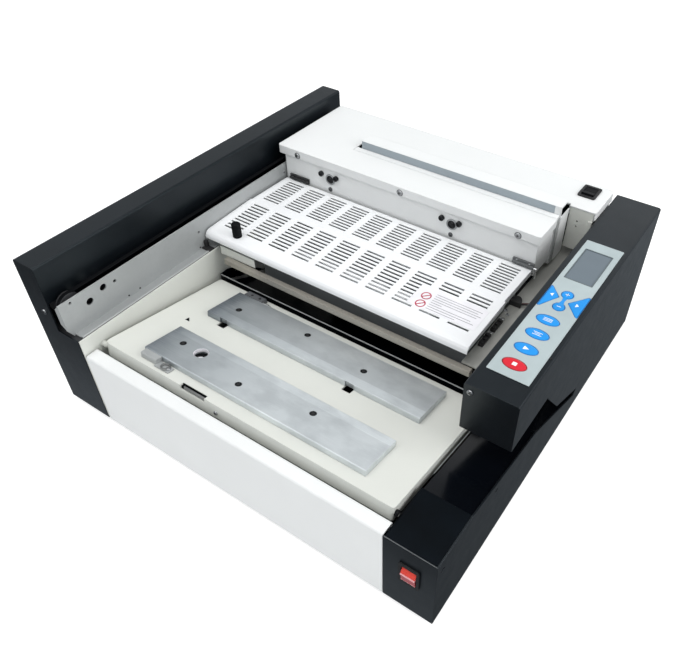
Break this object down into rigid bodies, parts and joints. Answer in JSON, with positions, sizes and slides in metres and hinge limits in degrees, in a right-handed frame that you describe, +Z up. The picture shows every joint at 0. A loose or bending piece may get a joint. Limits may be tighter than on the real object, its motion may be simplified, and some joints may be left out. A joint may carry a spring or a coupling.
{
  "type": "hot-melt book binder",
  "caption": "Desktop hot-melt book binder: a clamp carriage with a slotted lid travels over glue rollers to a tilting nip table, with a membrane key console on the right.",
  "frame": {"origin": "on the floor, in the middle of the footprint", "axes": "+X to the machine's right, +Y to its rear, +Z up"},
  "size_m": [0.6, 0.6098, 0.248],
  "materials": {
    "beige_powder_coat": "smooth warm grey powder coat",
    "black_gloss_sheet": "gloss black sheet steel",
    "black_plastic": "moulded black plastic",
    "black_rubber": "matte rubber",
    "brushed_steel": "brushed and ground steel",
    "charcoal_powder_coat": "fine textured powder coat",
    "console_overlay_film": "printed membrane film",
    "dark_steel": "dark painted steel",
    "display_glass": "clear window over a grey display",
    "galvanised_steel": "galvanised sheet steel",
    "key_blue": "domed membrane key",
    "key_red": "domed membrane key and translucent rocker",
    "white_powder_coat": "smooth white powder coat"
  },
  "bodies": {
    "body": {"base_pan": "dark_steel", "foot_front_left": "black_rubber", "foot_front_right": "black_rubber", "foot_rear_left": "black_rubber", "foot_rear_right": "black_rubber", "left_cover": "charcoal_powder_coat", "left_deck": "dark_steel", "guide_plate_left": "galvanised_steel", "inner_wall_left": "beige_powder_coat", "rail_left": "galvanised_steel", "carriage_motor": "dark_steel", "drive_belt": "black_plastic", "right_side_cover": "charcoal_powder_coat", "right_front_top": "charcoal_powder_coat", "console_floor": "dark_steel", "paper_chute": "black_gloss_sheet", "console_overlay": "console_overlay_film", "lcd_module": "display_glass", "front_panel": "white_powder_coat", "rear_panel": "charcoal_powder_coat", "power_inlet": "black_plastic", "table_lift_actuator": "dark_steel", "glue_tank": "galvanised_steel", "milling_motor": "dark_steel", "station_deck": "galvanised_steel", "front_strip": "brushed_steel", "rail_right": "brushed_steel", "power_switch_bezel": "black_plastic"},
    "carriage": {"carriage_cover": "white_powder_coat", "carriage_front_wall": "white_powder_coat", "fixed_jaw": "brushed_steel", "jaw_gearbox": "dark_steel", "carriage_side_box": "beige_powder_coat", "carriage_frame": "dark_steel", "hinge_left": "black_plastic", "hinge_right": "black_plastic", "carriage_switch_bezel": "black_plastic"},
    "jaw": {"moving_jaw": "brushed_steel"},
    "lid": {"lid": "white_powder_coat", "lid_knob": "black_plastic"},
    "carriage_rocker": {"carriage_switch_rocker": "black_plastic"},
    "table": {"nip_table": "beige_powder_coat", "cover_stop_front": "galvanised_steel"},
    "nip_front": {"nip_plate_front": "brushed_steel"},
    "nip_rear": {"nip_plate_rear": "brushed_steel"},
    "lift_plunger": {"table_lift_plunger": "brushed_steel"},
    "roller_front": {"glue_roller_front": "brushed_steel"},
    "roller_rear": {"glue_roller_rear": "brushed_steel"},
    "drum": {"milling_drum": "brushed_steel"},
    "pulley_front": {"belt_pulley_front": "brushed_steel"},
    "pulley_rear": {"belt_pulley_rear": "brushed_steel"},
    "power_rocker": {"power_switch_rocker": "key_red"},
    "key_left": {"key_left": "key_blue"},
    "key_right": {"key_right": "key_blue"},
    "key_plus": {"key_plus": "key_blue"},
    "key_minus": {"key_minus": "key_blue"},
    "key_menu": {"key_menu": "key_blue"},
    "key_set": {"key_set": "key_blue"},
    "key_start": {"key_start": "key_blue"},
    "key_stop": {"key_stop": "key_red"}
  },
  "joints": [
    {"name": "carriage_travel", "type": "slide", "parent": "body", "child": "carriage", "axis": [0, -1, 0], "range_m": [0, 0.382]},
    {"name": "clamp_jaw", "type": "slide", "parent": "carriage", "child": "jaw", "axis": [0, 1, 0], "range_m": [0, 0.031]},
    {"name": "lid_hinge", "type": "hinge", "parent": "carriage", "child": "lid", "pos_m": [-0.022, 0.1215, 0.1805], "axis": [-1, 0, 0], "range_deg": [0, 75]},
    {"name": "carriage_rocker_tilt", "type": "hinge", "parent": "carriage", "child": "carriage_rocker", "pos_m": [0.206, 0.263, 0.23], "axis": [1, 0, 0], "range_deg": [0, 16]},
    {"name": "table_tilt", "type": "hinge", "parent": "body", "child": "table", "pos_m": [0.00875, -0.27, 0.128], "axis": [1, 0, 0], "range_deg": [0, 8.9]},
    {"name": "nip_rear_slide", "type": "slide", "parent": "table", "child": "nip_rear", "axis": [0, -0.988, 0.1547], "range_m": [0, 0.0225]},
    {"name": "nip_front_slide", "type": "slide", "parent": "table", "child": "nip_front", "axis": [0, 0.988, -0.1547], "range_m": [0, 0.0225]},
    {"name": "lift_plunger_slide", "type": "slide", "parent": "body", "child": "lift_plunger", "axis": [0, 0, 1], "range_m": [0, 0.0294]},
    {"name": "roller_front_spin", "type": "hinge", "parent": "body", "child": "roller_front", "pos_m": [0.016, -0.0155, 0.131], "axis": [1, 0, 0], "continuous": true},
    {"name": "roller_rear_spin", "type": "hinge", "parent": "body", "child": "roller_rear", "pos_m": [0.016, 0.0175, 0.131], "axis": [1, 0, 0], "continuous": true},
    {"name": "milling_drum_spin", "type": "hinge", "parent": "body", "child": "drum", "pos_m": [0.018, 0.085, 0.129], "axis": [1, 0, 0], "continuous": true},
    {"name": "pulley_front_spin", "type": "hinge", "parent": "body", "child": "pulley_front", "pos_m": [-0.25, -0.279, 0.188], "axis": [1, 0, 0], "range_deg": [-5, 1615]},
    {"name": "pulley_rear_spin", "type": "hinge", "parent": "body", "child": "pulley_rear", "pos_m": [-0.25, 0.274, 0.188], "axis": [1, 0, 0], "range_deg": [-5, 1615]},
    {"name": "power_rocker_tilt", "type": "hinge", "parent": "body", "child": "power_rocker", "pos_m": [0.2683, -0.3, 0.0815], "axis": [1, 0, 0], "range_deg": [0, 16]},
    {"name": "key_left_press", "type": "slide", "parent": "body", "child": "key_left", "axis": [0, 0, -1], "range_m": [0, 0.0005], "stiffness_N_per_m": 800},
    {"name": "key_right_press", "type": "slide", "parent": "body", "child": "key_right", "axis": [0, 0, -1], "range_m": [0, 0.0005], "stiffness_N_per_m": 800},
    {"name": "key_plus_press", "type": "slide", "parent": "body", "child": "key_plus", "axis": [0, 0, -1], "range_m": [0, 0.0005], "stiffness_N_per_m": 800},
    {"name": "key_minus_press", "type": "slide", "parent": "body", "child": "key_minus", "axis": [0, 0, -1], "range_m": [0, 0.0005], "stiffness_N_per_m": 800},
    {"name": "key_menu_press", "type": "slide", "parent": "body", "child": "key_menu", "axis": [0, 0, -1], "range_m": [0, 0.0005], "stiffness_N_per_m": 800},
    {"name": "key_set_press", "type": "slide", "parent": "body", "child": "key_set", "axis": [0, 0, -1], "range_m": [0, 0.0005], "stiffness_N_per_m": 800},
    {"name": "key_start_press", "type": "slide", "parent": "body", "child": "key_start", "axis": [0, 0, -1], "range_m": [0, 0.0005], "stiffness_N_per_m": 800},
    {"name": "key_stop_press", "type": "slide", "parent": "body", "child": "key_stop", "axis": [0, 0, -1], "range_m": [0, 0.0005], "stiffness_N_per_m": 800}
  ],
  "couplings": [
    {"joint": "pulley_front_spin", "follows": "carriage_travel", "rad_per_m": 73.529},
    {"joint": "pulley_rear_spin", "follows": "carriage_travel", "rad_per_m": 73.529},
    {"joint": "lift_plunger_slide", "follows": "table_tilt", "m_per_rad": 0.18603},
    {"joint": "nip_front_slide", "follows": "nip_rear_slide", "ratio": 1},
    {"joint": "roller_rear_spin", "follows": "roller_front_spin", "ratio": 1}
  ]
}
